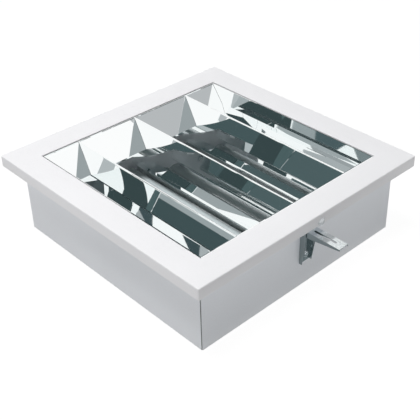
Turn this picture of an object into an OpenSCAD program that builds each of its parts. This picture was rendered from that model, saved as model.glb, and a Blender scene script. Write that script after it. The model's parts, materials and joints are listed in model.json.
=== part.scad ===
// Recessed square louvre light, lying on its back with the light opening upwards.
// Origin: centre of the housing's back face. +X runs along the blades, +Z out of the opening.
// right is +X, left is -X, front is -Y, rear is +Y.

/* [Trim frame] */
// Outer width of the square trim frame
trim_w = 400; // [394:1:440]
// Height of the finished light, from the housing's back to the trim's face
overall_h = 119; // [114:1:140]
// Height of the turned-down outer lip
lip_h = 17; // [14:0.5:19]
// Width of the lip's return, which lies on the ceiling
lip_return = 6; // [4:0.5:8]
// Height of the hem around the light opening
hem_h = 2.5; // [1.5:0.1:3.5]
// Outer radius of the trim frame's corners
trim_corner_r = 2; // [1.5:0.1:5]
// Sheet thickness of the trim frame
trim_t = 1; // [0.8:0.05:1.2]

/* [Housing] */
// How far the trim frame stands out beyond the housing
trim_over = 21; // [14:0.5:23]
// Sheet thickness of the housing
sheet_t = 1; // [0.8:0.05:1.2]
// Open joint at each upright corner of the housing
seam_gap = 1.1; // [0.5:0.1:1.5]
// Width of the housing's top flange, which carries the trim frame
top_flange = 12; // [8:0.5:14]
// Width of the end panels' folds behind the tray's sides
panel_fold = 9; // [6:0.5:10]

/* [Louvre] */
// Width of the housing's rim round the light opening
rim_w = 19; // [18:0.5:23]
// Gap between the louvre and the light opening
louvre_gap = 1.6; // [1.4:0.1:3]
// How far the louvre's top edges lie below the trim's face
louvre_set = 1.5; // [1:0.1:2]
// Sheet thickness of the louvre's reflectors
mirror_t = 0.8; // [0.6:0.05:1]
// Width of an outer bay as a share of the distance between blades
edge_bay_share = 0.6; // [0.57:0.01:0.65]
// Gap between the lamps' glass and the blades' open bases
lamp_gap = 13.25; // [11:0.25:18]
// How far the blades reach down below the end and side reflectors
base_step = 10; // [7:0.5:15]
// Width of a blade across its open base
blade_base_w = 25; // [20:0.5:34]
// How far a blade's faces lean at its top edge, as a share of their height
blade_top_share = 0.1; // [0.02:0.01:0.14]
// Width of the return along each base edge of a blade
blade_return = 4; // [2:0.5:6]
// Height of the upright part of a side reflector
crease_h = 27.5; // [20:0.5:32]
// How far a side reflector leans in below its crease
side_lean = 10; // [8:0.5:16]
// How far an end reflector's sloping faces reach into the light opening
end_reach = 30; // [24:0.5:34]
// Height of an end reflector's sloping faces
end_face_h = 39.5; // [34:0.5:44]
// Width of the return under a sloping face
end_return = 3; // [2:0.5:5]
// Height of a blade's end tab
tab_h = 12; // [8:0.5:16]
// How far an end tab stands out of its slot
tab_out = 1; // [0.6:0.1:1.1]

/* [Louvre hinge] */
// Distance of the hinge axis from the louvre's rear side
pivot_in = 8.4; // [7.6:0.1:9]
// Distance of the hinge axis below the louvre's top edges
pivot_drop = 5.5; // [5:0.1:6]
// Radius of a pivot pin
pivot_r = 1.5; // [1.2:0.05:2]
// Width of a hinge bracket
hinge_w = 14; // [11:0.5:18]

/* [Lamps] */
// Length of a lamp with its cap
lamp_l = 316; // [310:1:318]
// Diameter of a lamp's glass tubes
tube_d = 17.5; // [16:0.1:18]
// Gap between the two tubes of a lamp
tube_gap = 3; // [2.2:0.1:3.6]
// Height of the lamps' axes above the housing's back
lamp_z = 22; // [20:0.5:24]
// Length of a lamp's cap
cap_l = 27; // [22:0.5:30]
// Depth of a lamp holder along the lamp
holder_d = 23.5; // [20:0.5:24]
// Height of a lamp holder
holder_h = 33; // [30:0.5:36]

/* [Floor reflector and gear] */
// How far the flat trough under a lamp reaches past its tubes
trough_gap = 3; // [2.8:0.1:3.5]
// How far the ridges between the lamps end below the blades' bases
ridge_drop = 3.2; // [2:0.1:8]
// Width of a ridge's flat top
ridge_top_w = 28; // [22:0.5:30]
// Width of the ballast
ballast_w = 40; // [30:0.5:41]
// Height of the ballast
ballast_h = 21; // [16:0.5:22]
// Length of the ballast
ballast_l = 250; // [180:1:255]
// Radius of the supply cable's hole in the grommet
cable_r = 5; // [4:0.25:6]

/* [Clamp bracket] */
// Length of the channel plate
plate_l = 59; // [55:0.5:60]
// Outer width of the channel plate
plate_w = 19.4; // [18:0.1:22]
// Sheet thickness of plate and arm
clamp_t = 1; // [0.8:0.05:1.2]
// Depth of the channel plate at its foot
plate_foot_d = 4.2; // [4:0.1:5]
// Reach of the clamp arm from the hinge pin
arm_reach = 56; // [50:0.5:62]
// Gap for the thinnest ceiling, between lip and arm
clamp_gap = 9.7; // [9:0.1:12]
// Travel of the channel plate along its slot
clamp_travel = 25; // [20:0.5:26]
// Radius of the arm's hinge pin
pin_r = 1.5; // [1.2:0.05:1.8]
// Radius of the slot screw's thread
slot_screw_r = 2; // [1.6:0.05:2.2]

/* [Hidden] */
$fn = 48;

// Clearances and the overrun that every cut gets
cut = 1;
fit = 0.05;
rest_gap = 0.3;
tab_clear = 0.15;

// Half sizes and heights that the pieces share
trim_half = trim_w / 2;
body_w = trim_w - 2 * trim_over;
aperture_w = body_w - 2 * rim_w;
open_half = aperture_w / 2;
body_half = body_w / 2;
body_in = body_half - sheet_t;
body_top = overall_h - trim_t;
lip_z = overall_h - lip_h;
louvre_half = open_half - louvre_gap;
louvre_in = louvre_half - mirror_t;
louvre_top = overall_h - louvre_set;
blade_z = lamp_z + tube_d / 2 + lamp_gap;
blade_h = louvre_top - blade_z;
louvre_z = blade_z + base_step;
louvre_h = louvre_top - louvre_z;
crease_z = louvre_top - crease_h;
blade_pitch = aperture_w / (2 + 2 * edge_bay_share);
blade_places = [-blade_pitch, 0, blade_pitch];

// Blades: how much the hollow faces flare, flats per face, and the thickness across a tab
blade_flare = blade_base_w / 2 - mirror_t - blade_top_share * blade_h;
blade_steps = 8;
tab_low = louvre_z + louvre_h / 4;
tab_high = tab_low + tab_h;
tab_slope = (blade_half(tab_low) - blade_half(tab_high)) / tab_h;
face_t = mirror_t * norm([1, tab_slope]);

// Louvre hinge
pivot_y = louvre_half - pivot_in;
pivot_z = louvre_top - pivot_drop;
pivot_collar_r = 2 * pivot_r;
ear_t = 1.5;
ear_gap = 4;
ear_x = louvre_half + ear_gap;
ear_drop = 7;
foot_h = 20;
catch_w = 14;
catch_t = 0.5;
catch_gap = 1.1;
catch_inset = 53.4;
catch_place = louvre_half - catch_inset;
catch_foot = 16;
catch_drop = 18;
catch_low = crease_z - catch_drop;
lug_w = 16;
lug_in = 2.4;

// Lamps and holders, from the right end panel inwards
tube_pitch = tube_d + tube_gap;
cap_margin = 2.5;
cap_rim = 1.75;
cap_w = tube_pitch + tube_d + 2 * cap_margin;
cap_h = tube_d + 2 * cap_rim;
holder_margin = 0.5;
holder_w = cap_w + 2 * holder_margin;
holder_x = body_in - panel_fold - rest_gap - holder_d;
lamp_end_x = holder_x - lamp_l;
cap_pin_r = 1.3;
cap_pin_l = 6.5;
cap_pin_pitch = 10;
cap_pin_places = [for (i = [-1.5 : 1 : 1.5]) i * cap_pin_pitch];
bridge_inset = 12;
clip_inset = 60;
clip_x = lamp_end_x + clip_inset;
clip_l = 10;
clip_wall = 3;

// Floor reflector
floor_t = 0.8;
floor_z = sheet_t + floor_t;
floor_x0 = -(body_in - panel_fold - rest_gap);
floor_x1 = holder_x - rest_gap;
trough_half = (tube_pitch + tube_d) / 2 + trough_gap;
ridge_h = blade_z - ridge_drop - floor_z;
ridge_y = blade_pitch / 2;
wing_gap = 4;
wing_y = louvre_half - side_lean + wing_gap;
wing_z = louvre_z - wing_gap;
floor_screw_r = 2;
floor_screw_inset = 24.9;
floor_screw_x = floor_x1 - floor_screw_inset;
ballast_lug = 8;
ballast_end_gap = 10;
ballast_x = floor_x1 - ballast_end_gap - ballast_lug - ballast_l / 2;
grommet_inset = 28.7;
grommet_x = floor_x0 + grommet_inset;
block_l = 50;
block_w = 24;
block_h = 20;
block_step = 70;
block_x = grommet_x + block_step;
block_pole_r = 2;
block_poles = 5;
earth_step = 50;
earth_x = block_x + earth_step;
earth_r = 2;
grommet_wall = 2;
grommet_rim = 4.5;
grommet_flange_r = cable_r + grommet_rim;
grommet_h = 8;

// Clamp bracket, in the frame of the right one
clamp_half = plate_w / 2;
plate_x = body_half + rest_gap;
web_x = plate_x + clamp_t;
arm_top = lip_z - clamp_gap;
arm_half = clamp_half - clamp_t - rest_gap;
root_r = 4.3;
root_gap = 0.5;
pin_drop = 4.7;
pin_x = web_x + root_gap + root_r;
pin_z = arm_top - pin_drop;
pin_head_r = 2.4;
pin_head_t = 0.8;
ear_margin = 3.6;
plate_over = 4.4;
plate_top = arm_top + plate_over;
plate_z = plate_top - plate_l;
arm_tip_d = 2.6;
arm_slot_w = 3.4;
arm_slot_start = 10;
arm_slot_end = 43;
slot_margin = 12;
slot_w = 2 * (slot_screw_r + rest_gap);
slot_screw_z = plate_z + slot_margin;
washer_r = 2.2 * slot_screw_r;
washer_t = 0.8;
head_r = 1.9 * slot_screw_r;
head_h = 2.4;
nut_r = 2 * slot_screw_r;
nut_t = 3.6;
screw_tail = 3;
rivet_r = 5.3;
rivet_dome = 3.4;
rivet_shank_r = 2.4;
rivet_y = 5;
rivet_z = lip_z + rivet_r - rest_gap;
rivet_grip = 3;

// Unit vector, and the vector a quarter turn to its left
function unit(v) = v / norm(v);
function left(v) = [-v[1], v[0]];
// Left normal of the path's stretch i
function side(p, i) = left(unit(p[i + 1] - p[i]));
// Where the path's corner i moves when every stretch moves one unit to its left
function mitre(p, i) =
    i == 0 ? side(p, 0) :
    i == len(p) - 1 ? side(p, i - 1) :
    let(a = side(p, i - 1), b = side(p, i)) (a + b) / (1 + a * b);
// Outline of a folded sheet: one face follows the path, the other lies t to its left
function folded(p, t) =
    concat(p, [for (i = [len(p) - 1 : -1 : 0]) p[i] + t * mitre(p, i)]);
// A path followed by its mirror image across the second axis
function mirrored(p) = concat(p, [for (i = [len(p) - 1 : -1 : 0]) [-p[i][0], p[i][1]]]);

// A profile drawn in Y and Z, carried along X
module along_x(x0, x1) {
    translate([x0, 0, 0])
        rotate([90, 0, 90])
            linear_extrude(x1 - x0)
                children();
}

// A profile drawn in X and Z, carried along Y
module along_y(y0, y1) {
    translate([0, y1, 0])
        rotate([90, 0, 0])
            linear_extrude(y1 - y0)
                children();
}

// A cylinder whose axis runs along X from x0 to x1
module rod_x(r, x0, x1) {
    translate([x0, 0, 0])
        rotate([0, 90, 0])
            cylinder(r = r, h = x1 - x0);
}

// A cylinder whose axis runs along Y from y0 to y1
module rod_y(r, y0, y1) {
    translate([0, y1, 0])
        rotate([90, 0, 0])
            cylinder(r = r, h = y1 - y0);
}

// A box given by its lowest and highest corners
module box(low, high) {
    translate(low)
        cube(high - low);
}

// A square of half width h with corners of radius r
module round_square(h, r) {
    square([2 * h, 2 * (h - r)], center = true);
    square([2 * (h - r), 2 * h], center = true);
    for (x = [-1, 1], y = [-1, 1])
        translate([x * (h - r), y * (h - r)])
            circle(r);
}

// A square ring between the half widths a and b, sharp inside and rounded outside
module ring(a, b, r) {
    difference() {
        round_square(b, r);
        square(2 * a, center = true);
    }
}

// The left bracket and its fittings are the right ones turned half a turn
module on_side(s) {
    rotate([0, 0, s > 0 ? 0 : 180])
        children();
}

// Back and two long sides, folded from one sheet, with a top flange under the trim frame
module housing_tray() {
    path = [
        [-body_half - top_flange, body_top], [-body_half, body_top], [-body_half, 0],
        [body_half, 0], [body_half, body_top], [body_half + top_flange, body_top]
    ];
    half_l = body_half - seam_gap;
    color([0.84, 0.85, 0.86])
        difference() {
            union() {
                along_x(-half_l, half_l)
                    polygon(folded([path[1], path[2], path[3], path[4]], sheet_t));
                for (s = [-1, 1])
                    mirror([0, s < 0 ? 1 : 0, 0])
                        along_x(-half_l, half_l)
                            polygon(folded([path[5], path[4] - [sheet_t, 0]], sheet_t));
                box([-body_in, -body_in, 0], [body_in, body_in, sheet_t]);
            }
            translate([grommet_x, -ridge_y, -cut])
                cylinder(r = cable_r + grommet_wall, h = sheet_t + 2 * cut);
        }
}

// Closes one end of the tray: outer panel, top flange, folds behind the sides and two lugs
module end_panel(s) {
    lug_x = louvre_half - lug_in;
    lug_z = louvre_z - rest_gap - sheet_t;
    color([0.84, 0.85, 0.86])
        on_side(s)
            difference() {
                union() {
                    box([body_in, -body_in, 0], [body_half, body_in, body_top]);
                    box([body_half, -body_in, body_top - sheet_t],
                        [body_half + top_flange, body_in, body_top]);
                    for (y = [-1, 1]) {
                        low = y > 0 ? body_in - sheet_t : -body_in;
                        box([body_in - panel_fold, low, sheet_t],
                            [body_in, low + sheet_t, body_top - sheet_t]);
                        box([lug_x, y * ridge_y - lug_w / 2, lug_z],
                            [body_in, y * ridge_y + lug_w / 2, lug_z + sheet_t]);
                    }
                }
                translate([0, 0, slot_screw_z])
                    rod_x(slot_screw_r + fit, body_in - cut, body_half + cut);
            }
}

// Flange, outer lip with its return, and hem around the light opening
module trim_frame() {
    lip_in = trim_half - trim_t;
    inner_r = trim_corner_r - trim_t;
    color([0.96, 0.96, 0.97])
        difference() {
            union() {
                translate([0, 0, body_top])
                    linear_extrude(trim_t)
                        ring(open_half, trim_half, trim_corner_r);
                translate([0, 0, lip_z])
                    linear_extrude(lip_h)
                        difference() {
                            round_square(trim_half, trim_corner_r);
                            round_square(lip_in, inner_r);
                        }
                translate([0, 0, lip_z])
                    linear_extrude(trim_t)
                        ring(trim_half - lip_return, trim_half, trim_corner_r);
                translate([0, 0, overall_h - hem_h])
                    linear_extrude(hem_h)
                        difference() {
                            square(2 * (open_half + trim_t), center = true);
                            square(2 * open_half, center = true);
                        }
            }
            for (s = [-1, 1])
                on_side(s)
                    translate([0, rivet_y, rivet_z])
                        rod_x(rivet_shank_r + fit, lip_in - cut, trim_half + cut);
        }
}

// Mirror sheet over the tray: troughs under the lamps, ridges over the gear, raised wings
module floor_reflector() {
    t = floor_t;
    ridge_foot = blade_pitch - trough_half;
    ridge_z = floor_z + ridge_h;
    half = [
        [-body_in + rest_gap, wing_z], [-wing_y, wing_z],
        [-blade_pitch - trough_half, floor_z], [-ridge_foot, floor_z],
        [-ridge_y - ridge_top_w / 2, ridge_z], [-ridge_y + ridge_top_w / 2, ridge_z],
        [-trough_half, floor_z]
    ];
    color([0.75, 0.78, 0.8])
        difference() {
            along_x(floor_x0, floor_x1)
                polygon(folded(mirrored(half), -t));
            for (x = [-1, 1], y = [-1, 1])
                translate([x * floor_screw_x, y * blade_pitch, sheet_t - cut])
                    cylinder(r = floor_screw_r + fit, h = t + 2 * cut);
        }
}

// A low pan-head screw whose head starts at z = 0 and whose shank reaches down by l
module pan_screw(r, l) {
    translate([0, 0, -l])
        cylinder(r = r, h = l);
    difference() {
        union() {
            cylinder(r = 1.9 * r, h = 0.6 * r);
            translate([0, 0, 0.6 * r])
                cylinder(r1 = 1.9 * r, r2 = 1.2 * r, h = 0.5 * r);
        }
        for (a = [0, 90])
            rotate(a)
                translate([-1.1 * r, -0.18 * r, 0.6 * r])
                    cube([2.2 * r, 0.36 * r, r]);
    }
}

module reflector_screws() {
    color("silver")
        for (x = [-1, 1], y = [-1, 1])
            translate([x * floor_screw_x, y * blade_pitch, floor_z])
                pan_screw(floor_screw_r, floor_t);
}

// Electronic ballast: folded case with a sloped edge at each side and two fixing ears
module ballast() {
    w = ballast_w / 2;
    edge = ballast_h / 5;
    top = sheet_t + ballast_h;
    color([0.9, 0.9, 0.88])
        difference() {
            union() {
                along_x(ballast_x - ballast_l / 2, ballast_x + ballast_l / 2)
                    translate([ridge_y, 0])
                        polygon([
                            [-w, sheet_t], [w, sheet_t], [w, top - edge], [w - edge, top],
                            [-w + edge, top], [-w, top - edge]
                        ]);
                for (s = [-1, 1])
                    box([ballast_x + s * (ballast_l + ballast_lug) / 2 - ballast_lug / 2,
                         ridge_y - w / 2, sheet_t],
                        [ballast_x + s * (ballast_l + ballast_lug) / 2 + ballast_lug / 2,
                         ridge_y + w / 2, 2 * sheet_t]);
            }
            for (s = [-1, 1])
                translate([ballast_x + s * (ballast_l + ballast_lug) / 2, ridge_y, 0])
                    cylinder(r = floor_screw_r + fit, h = 2 * sheet_t + cut);
        }
}

module ballast_screws() {
    color("silver")
        for (s = [-1, 1])
            translate([ballast_x + s * (ballast_l + ballast_lug) / 2, ridge_y, 2 * sheet_t])
                pan_screw(floor_screw_r, sheet_t);
}

// Push-in terminal block with a wire funnel and a release slot per pole
module terminal_block() {
    pole_pitch = block_l / block_poles;
    low = [block_x - block_l / 2, -ridge_y - block_w / 2, sheet_t];
    color([0.93, 0.93, 0.9])
        difference() {
            box(low, low + [block_l, block_w, block_h]);
            for (i = [0 : block_poles - 1])
                translate([low[0] + (i + 0.5) * pole_pitch, 0, sheet_t + block_h / 3]) {
                    for (s = [-1, 1])
                        translate([0, -ridge_y + s * (block_w / 2 + cut / 2), 0])
                            rod_y(block_pole_r, -block_w / 4, block_w / 4);
                    translate([-block_pole_r / 2, -ridge_y - block_w / 4, block_h / 2])
                        cube([block_pole_r, block_w / 2, block_h]);
                }
        }
}

// Earth stud with a washer and a hexagonal nut
module earth_stud() {
    color("gold")
        translate([earth_x, -ridge_y, sheet_t]) {
            cylinder(r = earth_r, h = 6 * earth_r);
            cylinder(r = 2.2 * earth_r, h = earth_r / 2);
            translate([0, 0, earth_r / 2])
                cylinder(r = 2 * earth_r, h = 1.6 * earth_r, $fn = 6);
        }
}

// Rubber grommet for the supply cable, seated in the tray's back
module cable_grommet() {
    color([0.15, 0.15, 0.16])
        translate([grommet_x, -ridge_y, 0])
            rotate_extrude()
                polygon([
                    [cable_r, 0], [cable_r + grommet_wall - fit, 0],
                    [cable_r + grommet_wall - fit, sheet_t], [grommet_flange_r, sheet_t],
                    [grommet_flange_r, sheet_t + grommet_wall],
                    [cable_r + grommet_wall, grommet_h], [cable_r, grommet_h]
                ]);
}

// Two glass tubes side by side, round-ended, joined by a short bridge near their far end
module lamp(y) {
    r = tube_d / 2;
    tube_x0 = lamp_end_x + r;
    tube_x1 = holder_x - cap_l;
    color([0.95, 0.96, 0.94])
        translate([0, y, lamp_z]) {
            for (s = [-1, 1])
                translate([0, s * tube_pitch / 2, 0]) {
                    rod_x(r, tube_x0, tube_x1);
                    translate([tube_x0, 0, 0])
                        sphere(r);
                }
            translate([tube_x0 + bridge_inset, 0, 0])
                rod_y(r / 2, -tube_pitch / 2, tube_pitch / 2);
        }
}

// Plastic cap of a lamp with its four contact pins
module lamp_cap(y) {
    corner = cap_h / 4;
    color([0.92, 0.92, 0.9])
        translate([0, y, lamp_z]) {
            along_x(holder_x - cap_l, holder_x - rest_gap)
                polygon([
                    [-cap_w / 2, -cap_h / 2 + corner], [-cap_w / 2 + corner, -cap_h / 2],
                    [cap_w / 2 - corner, -cap_h / 2], [cap_w / 2, -cap_h / 2 + corner],
                    [cap_w / 2, cap_h / 2 - corner], [cap_w / 2 - corner, cap_h / 2],
                    [-cap_w / 2 + corner, cap_h / 2], [-cap_w / 2, cap_h / 2 - corner]
                ]);
            for (p = cap_pin_places)
                translate([0, p, 0])
                    rod_x(cap_pin_r, holder_x - cap_l / 2, holder_x + cap_pin_l);
        }
}

// Lamp holder: body on the tray with a foot and a blind contact hole for each pin
module lamp_holder(y) {
    w = holder_w / 2;
    foot_w = holder_w / 6;
    color([0.95, 0.95, 0.93])
        difference() {
            along_y(y - w, y + w)
                polygon([
                    [holder_x, sheet_t], [holder_x + holder_d, sheet_t],
                    [holder_x + holder_d, holder_h - foot_w],
                    [holder_x + holder_d - foot_w, holder_h], [holder_x, holder_h]
                ]);
            for (p = cap_pin_places)
                translate([0, y + p, lamp_z])
                    rod_x(cap_pin_r + fit, holder_x - cut, holder_x + cap_pin_l + rest_gap);
        }
}

// Plastic saddle that the far end of a lamp snaps into
module lamp_clip(y) {
    r = tube_d / 2 + fit;
    w = tube_pitch / 2 + r + clip_wall;
    top = lamp_z + r / 3;
    color([0.9, 0.92, 0.93])
        difference() {
            along_x(clip_x, clip_x + clip_l)
                polygon([
                    [y - w + clip_wall, floor_z], [y + w - clip_wall, floor_z],
                    [y + w, floor_z + clip_wall], [y + w, top], [y - w, top],
                    [y - w, floor_z + clip_wall]
                ]);
            for (s = [-1, 1])
                translate([0, y + s * tube_pitch / 2, lamp_z])
                    rod_x(r, clip_x - cut, clip_x + clip_l + cut);
            box([clip_x - cut, y - tube_pitch / 4, lamp_z - r / 2],
                [clip_x + clip_l + cut, y + tube_pitch / 4, top + cut]);
        }
}

// Half width of a blade at height z, which grows with the square of the depth below its top
function blade_half(z) =
    let(d = louvre_top - z)
    mirror_t + blade_top_share * d + blade_flare * pow(d / blade_h, 2);
// One outer face of a blade, grown by g, from its base to its top
function blade_face(g) = [
    for (i = [blade_steps : -1 : 0])
        let(z = louvre_top - i / blade_steps * blade_h) [-blade_half(z) - g, z]
];
// Path of a blade's outer faces, from the return at one base edge over the top to the other
function blade_path() =
    mirrored(concat([[-blade_base_w / 2 + blade_return, blade_z]], blade_face(0)));

// Cross-section of a blade's two end tabs at y, grown by g for the slots
module tab_profile(y, g) {
    for (s = [-1, 1])
        translate([y, 0])
            polygon([
                [s * (blade_half(tab_low - g) + g), tab_low - g],
                [s * (blade_half(tab_high + g) + g), tab_high + g],
                [s * (blade_half(tab_high + g) - face_t - g), tab_high + g],
                [s * (blade_half(tab_low - g) - face_t - g), tab_low - g]
            ]);
}

// Wedge blade folded from one mirror sheet, open at its base, with two tabs at each end
module blade(y) {
    color([0.7, 0.74, 0.76]) {
        along_x(-louvre_in, louvre_in)
            translate([y, 0])
                polygon(folded(blade_path(), -mirror_t));
        along_x(-louvre_half - tab_out, louvre_half + tab_out)
            tab_profile(y, 0);
    }
}

// Outline across the louvre between its side reflectors' outer faces, drawn in by g
function louvre_outline(g) = mirrored([
    [-louvre_half + side_lean + g, louvre_z], [-louvre_half + g, crease_z],
    [-louvre_half + g, louvre_top]
]);

// Outline of a whole blade at y, filled and grown by g, open upwards past the louvre's top
module blade_room(y, g) {
    translate([y, 0])
        polygon(mirrored(concat(blade_face(g), [[-mirror_t - g, louvre_top + cut]])));
}

// Sloping faces of an end reflector, one in each bay, folded down from the web's top edge
module sloping_faces() {
    tip = [louvre_half - end_reach, louvre_top - end_face_h];
    difference() {
        along_y(-louvre_half, louvre_half)
            polygon(folded([[louvre_half, louvre_top], tip, tip + [end_return, 0]], mirror_t));
        along_x(0, louvre_in)
            for (y = blade_places)
                blade_room(y, rest_gap);
        along_x(0, louvre_half)
            difference() {
                square(4 * louvre_half, center = true);
                polygon(louvre_outline(mirror_t + rest_gap));
            }
    }
}

// End reflector of the louvre: outer web with the slots for the blades' tabs and the pivot
// pin's hole, and a sloping mirror face in each bay
module louvre_end(s) {
    color([0.86, 0.88, 0.89])
        mirror([s < 0 ? 1 : 0, 0, 0]) {
            difference() {
                along_x(louvre_in, louvre_half)
                    polygon(louvre_outline(0));
                along_x(0, louvre_half + cut)
                    for (y = blade_places)
                        tab_profile(y, tab_clear);
                translate([0, pivot_y, pivot_z])
                    rod_x(pivot_r + fit, 0, louvre_half + cut);
            }
            sloping_faces();
        }
}

// Side reflector: upright below the trim frame, leaning in below its crease
module side_reflector(s) {
    path = [[-louvre_half + side_lean, louvre_z], [-louvre_half, crease_z],
            [-louvre_half, louvre_top]];
    color([0.78, 0.81, 0.83])
        mirror([0, s > 0 ? 1 : 0, 0])
            along_x(-louvre_in, louvre_in)
                polygon(folded(path, -mirror_t));
}

// Pivot pin riveted flush into the louvre's end, with a collar outside it
module pivot_pin(s) {
    collar = rest_gap + pivot_r;
    color("silver")
        mirror([s < 0 ? 1 : 0, 0, 0])
            translate([0, pivot_y, pivot_z]) {
                rod_x(pivot_r, louvre_in, ear_x + ear_t + pivot_r);
                rod_x(pivot_collar_r, louvre_half, louvre_half + collar);
            }
}

// Folded hinge bracket: ear with the pin's bearing hole, step, and foot on the end panel
module hinge_bracket(s) {
    step_z = pivot_z - ear_drop;
    path = [[ear_x, body_top - rest_gap], [ear_x, step_z], [body_in, step_z],
            [body_in, step_z - foot_h]];
    color("silver")
        mirror([s < 0 ? 1 : 0, 0, 0])
            difference() {
                along_y(pivot_y - hinge_w / 2, pivot_y + hinge_w / 2)
                    polygon(concat(
                        [path[0], path[1], [body_in - ear_t, step_z], path[3] - [ear_t, 0]],
                        [path[3], path[2] + [0, ear_t], path[1] + [ear_t, ear_t],
                         path[0] + [ear_t, 0]]
                    ));
                translate([0, pivot_y, pivot_z])
                    rod_x(pivot_r + fit, ear_x - cut, ear_x + ear_t + cut);
            }
}

// Leaf spring on the tray's front side, bowed towards the louvre
module catch_spring(s) {
    tip_y = -louvre_half - catch_gap - catch_t;
    root_y = -body_in;
    path = [
        [root_y, catch_low], [root_y, catch_low + catch_foot],
        [tip_y, crease_z + crease_h / 2], [tip_y, pivot_z - pivot_drop / 2],
        [tip_y - pivot_drop, louvre_top - pivot_drop / 2]
    ];
    color([0.55, 0.57, 0.6])
        along_x(s * catch_place - catch_w / 2, s * catch_place + catch_w / 2)
            polygon(folded(path, -catch_t));
}

// Channel plate: slotted web against the end panel, two tapering walls that hold the pin
module bracket_plate(s) {
    ear_out = pin_x + ear_margin;
    slot_top = slot_screw_z + clamp_travel;
    color([0.72, 0.75, 0.77])
        on_side(s)
            difference() {
                union() {
                    box([plate_x, -clamp_half, plate_z], [web_x, clamp_half, plate_top]);
                    for (y = [-clamp_half, clamp_half - clamp_t])
                        along_y(y, y + clamp_t)
                            polygon([
                                [plate_x, plate_z], [plate_x + plate_foot_d, plate_z],
                                [ear_out, pin_z - 5 * ear_margin], [ear_out, pin_z + ear_margin],
                                [pin_x, plate_top], [plate_x, plate_top]
                            ]);
                }
                for (z = [slot_screw_z, slot_top])
                    translate([0, 0, z])
                        rod_x(slot_w / 2, plate_x - cut, web_x + cut);
                box([plate_x - cut, -slot_w / 2, slot_screw_z], [web_x + cut, slot_w / 2, slot_top]);
                translate([pin_x, 0, pin_z])
                    rod_y(pin_r + fit, -clamp_half - cut, clamp_half + cut);
            }
}

// Clamp arm: slotted web that bears on the ceiling, two tapering walls round the hinge pin
module bracket_arm(s) {
    root_x = pin_x - root_r;
    tip_x = pin_x + arm_reach;
    wall = [
        [pin_x, pin_z - root_r], [pin_x + 2 * root_r, pin_z - root_r],
        [tip_x, arm_top - arm_tip_d], [tip_x, arm_top], [root_x, arm_top], [root_x, pin_z]
    ];
    color([0.8, 0.82, 0.84])
        on_side(s)
            difference() {
                union() {
                    box([root_x, -arm_half, arm_top - clamp_t], [tip_x, arm_half, arm_top]);
                    for (y = [-arm_half, arm_half - clamp_t]) {
                        along_y(y, y + clamp_t)
                            polygon(wall);
                        translate([pin_x, 0, pin_z])
                            rod_y(root_r, y, y + clamp_t);
                    }
                }
                for (x = [pin_x + arm_slot_start, pin_x + arm_slot_end])
                    translate([x, 0, arm_top - 2 * clamp_t])
                        cylinder(r = arm_slot_w / 2, h = 3 * clamp_t);
                box([pin_x + arm_slot_start, -arm_slot_w / 2, arm_top - 2 * clamp_t],
                    [pin_x + arm_slot_end, arm_slot_w / 2, arm_top + clamp_t]);
                translate([pin_x, 0, pin_z])
                    rod_y(pin_r + fit, -clamp_half - cut, clamp_half + cut);
            }
}

// Hinge pin of the arm with a rivet head at each end
module bracket_pin(s) {
    color("silver")
        on_side(s)
            translate([pin_x, 0, pin_z]) {
                rod_y(pin_r, -clamp_half - pin_head_t, clamp_half + pin_head_t);
                rod_y(pin_head_r, clamp_half, clamp_half + pin_head_t);
                rod_y(pin_head_r, -clamp_half - pin_head_t, -clamp_half);
            }
}

// Pan-head screw through the channel plate's slot
module slot_screw(s) {
    head_x = web_x + rest_gap + washer_t;
    recess = head_r / 4;
    color("silver")
        on_side(s)
            translate([0, 0, slot_screw_z])
                difference() {
                    union() {
                        rod_x(slot_screw_r, body_in - nut_t - screw_tail, head_x);
                        translate([head_x, 0, 0])
                            rotate([0, 90, 0]) {
                                cylinder(r = head_r, h = head_h / 2);
                                translate([0, 0, head_h / 2])
                                    cylinder(r1 = head_r, r2 = head_r / 2, h = head_h / 2);
                            }
                    }
                    for (a = [45, 135])
                        rotate([a, 0, 0])
                            box([head_x + head_h / 2, -head_r / 2, -recess / 2],
                                [head_x + head_h + cut, head_r / 2, recess / 2]);
                }
}

module slot_washer(s) {
    color("silver")
        on_side(s)
            translate([0, 0, slot_screw_z])
                difference() {
                    rod_x(washer_r, web_x + rest_gap, web_x + rest_gap + washer_t);
                    rod_x(slot_screw_r + fit, web_x, web_x + 2 * washer_t);
                }
}

// Nut clinched into the end panel behind the slot screw
module clinch_nut(s) {
    color("silver")
        on_side(s)
            translate([0, 0, slot_screw_z])
                difference() {
                    translate([body_in - nut_t, 0, 0])
                        rotate([0, 90, 0])
                            cylinder(r = nut_r, h = nut_t, $fn = 6);
                    rod_x(slot_screw_r + fit, body_in - nut_t - cut, body_in + cut);
                }
}

// Round-headed rivet that closes the hole in the lip above the bracket
module lip_rivet(s) {
    lip_in = trim_half - trim_t;
    dome_r = (rivet_r * rivet_r + rivet_dome * rivet_dome) / (2 * rivet_dome);
    color([0.8, 0.82, 0.83])
        on_side(s)
            translate([0, rivet_y, rivet_z]) {
                translate([trim_half, 0, 0])
                    rotate([0, 90, 0])
                        rotate_extrude()
                            intersection() {
                                translate([0, rivet_dome - dome_r])
                                    circle(dome_r);
                                square([rivet_r, rivet_dome]);
                            }
                rod_x(rivet_shank_r, lip_in - rivet_grip, trim_half);
                rod_x(1.4 * rivet_shank_r, lip_in - rivet_grip, lip_in);
            }
}

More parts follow.
